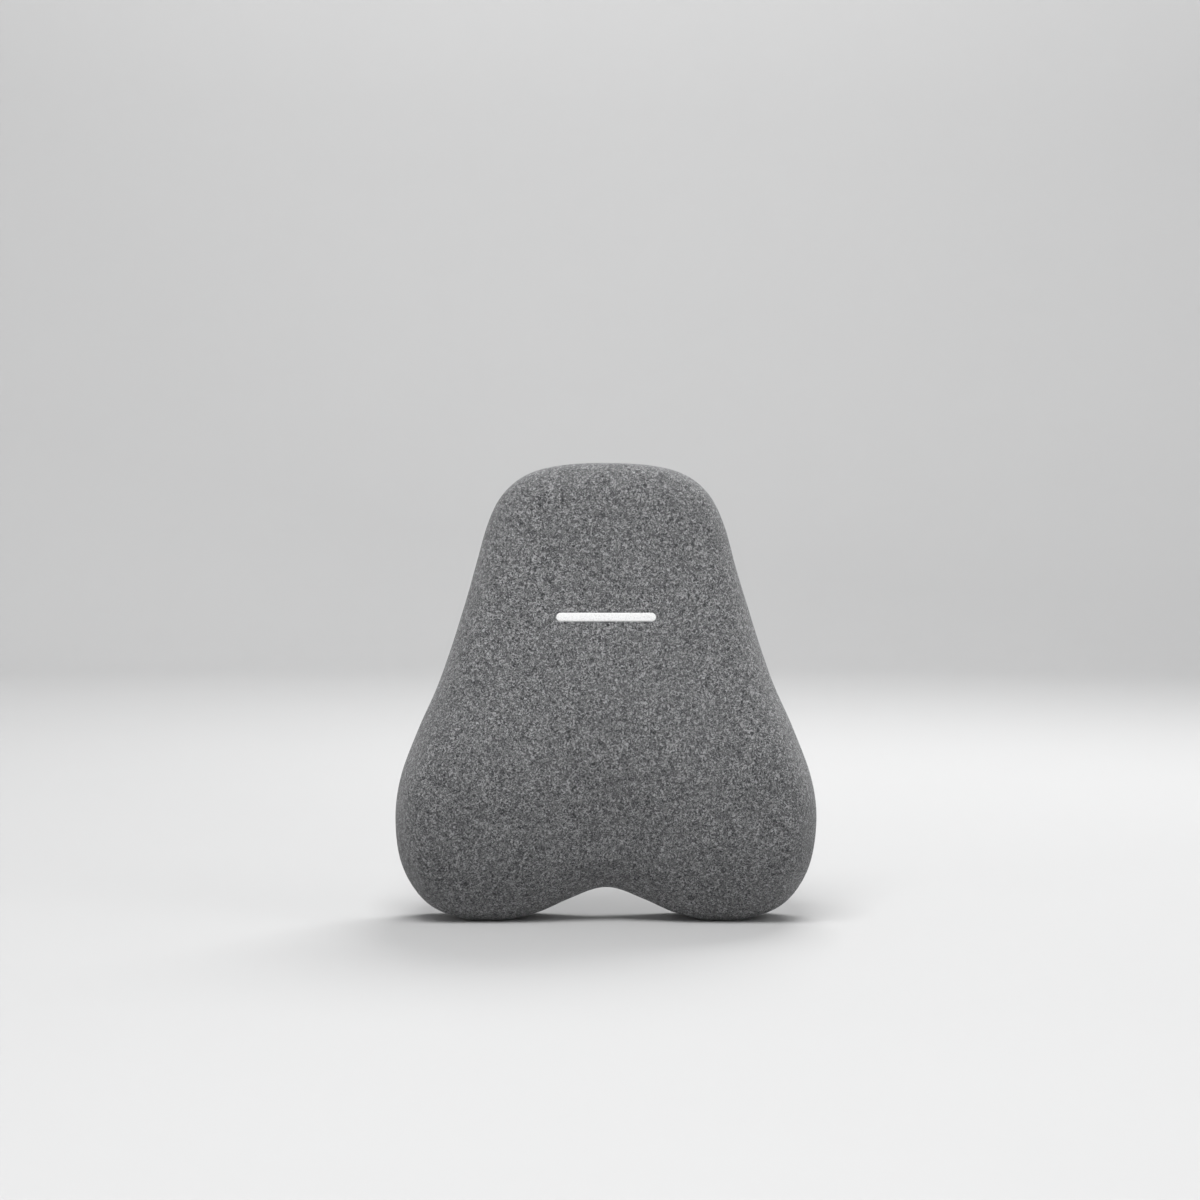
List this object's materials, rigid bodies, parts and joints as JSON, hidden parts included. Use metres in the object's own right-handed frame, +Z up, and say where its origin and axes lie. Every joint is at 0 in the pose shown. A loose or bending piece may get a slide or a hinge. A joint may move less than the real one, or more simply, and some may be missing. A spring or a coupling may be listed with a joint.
{
  "type": "lumbar support cushion",
  "caption": "Waisted foam back cushion with two rounded lower lobes, melange knit cover, zipped black back and a buckled elastic strap",
  "frame": {"origin": "on the floor under the middle of the cushion, which stands on its two lower lobes", "axes": "X across the width, with the buckle plug toward +X; Y from the front (-Y) to the flat back (+Y); Z up"},
  "size_m": [0.42, 0.1254, 0.454],
  "materials": {
    "foam": "matte",
    "liner_fabric": "matte",
    "melange_knit": "matte",
    "back_fabric": "matte",
    "zip_tape": "matte",
    "zip_coil": "satin",
    "zip_metal": "satin",
    "webbing": "matte",
    "buckle_plastic": "satin",
    "label_cloth": "matte"
  },
  "bodies": {
    "cushion": {"foam_core": "foam", "inner_liner": "liner_fabric", "cover_front": "melange_knit", "back_panel_upper": "back_fabric", "back_panel_lower": "back_fabric", "zip_tape_upper": "zip_tape", "zip_tape_lower": "zip_tape", "zip_coil_upper": "zip_coil", "zip_coil_lower": "zip_coil", "zip_stop_closed": "zip_metal", "zip_stop_open": "zip_metal", "strap_left": "webbing", "strap_right": "webbing", "anchor_patch_left": "back_fabric", "anchor_patch_right": "back_fabric", "buckle_socket": "buckle_plastic", "care_label": "label_cloth"},
    "slider": {"zip_slider": "zip_metal"},
    "pull": {"zip_pull": "zip_metal"},
    "plug": {"buckle_plug": "buckle_plastic"},
    "arm_upper": {"plug_arm_upper": "buckle_plastic"},
    "arm_lower": {"plug_arm_lower": "buckle_plastic"},
    "keeper": {"strap_keeper": "webbing"}
  },
  "joints": [
    {"name": "zip_slide", "type": "slide", "parent": "cushion", "child": "slider", "axis": [-1, 0, 0], "range_m": [0, 0.241], "deforming": ["zip_coil_upper", "zip_coil_lower"]},
    {"name": "pull_swing", "type": "hinge", "parent": "slider", "child": "pull", "pos_m": [0.12265, 0.05524, 0.12], "axis": [0, 0, -1], "range_deg": [0, 180]},
    {"name": "buckle_release", "type": "slide", "parent": "cushion", "child": "plug", "axis": [1, 0, 0], "range_m": [0, 0.026], "deforming": ["strap_right", "plug_arm_upper", "plug_arm_lower"]},
    {"name": "arm_upper_press", "type": "hinge", "parent": "plug", "child": "arm_upper", "pos_m": [0.0043, 0.05749, 0.3015], "axis": [0, -1, 0], "range_deg": [0, 15], "stiffness_Nm_per_rad": 0.3},
    {"name": "arm_lower_press", "type": "hinge", "parent": "plug", "child": "arm_lower", "pos_m": [0.0043, 0.05749, 0.2785], "axis": [0, 1, 0], "range_deg": [0, 15], "stiffness_Nm_per_rad": 0.3},
    {"name": "keeper_slide", "type": "slide", "parent": "cushion", "child": "keeper", "axis": [1, 0, 0], "range_m": [-0.02, 0.009]}
  ]
}
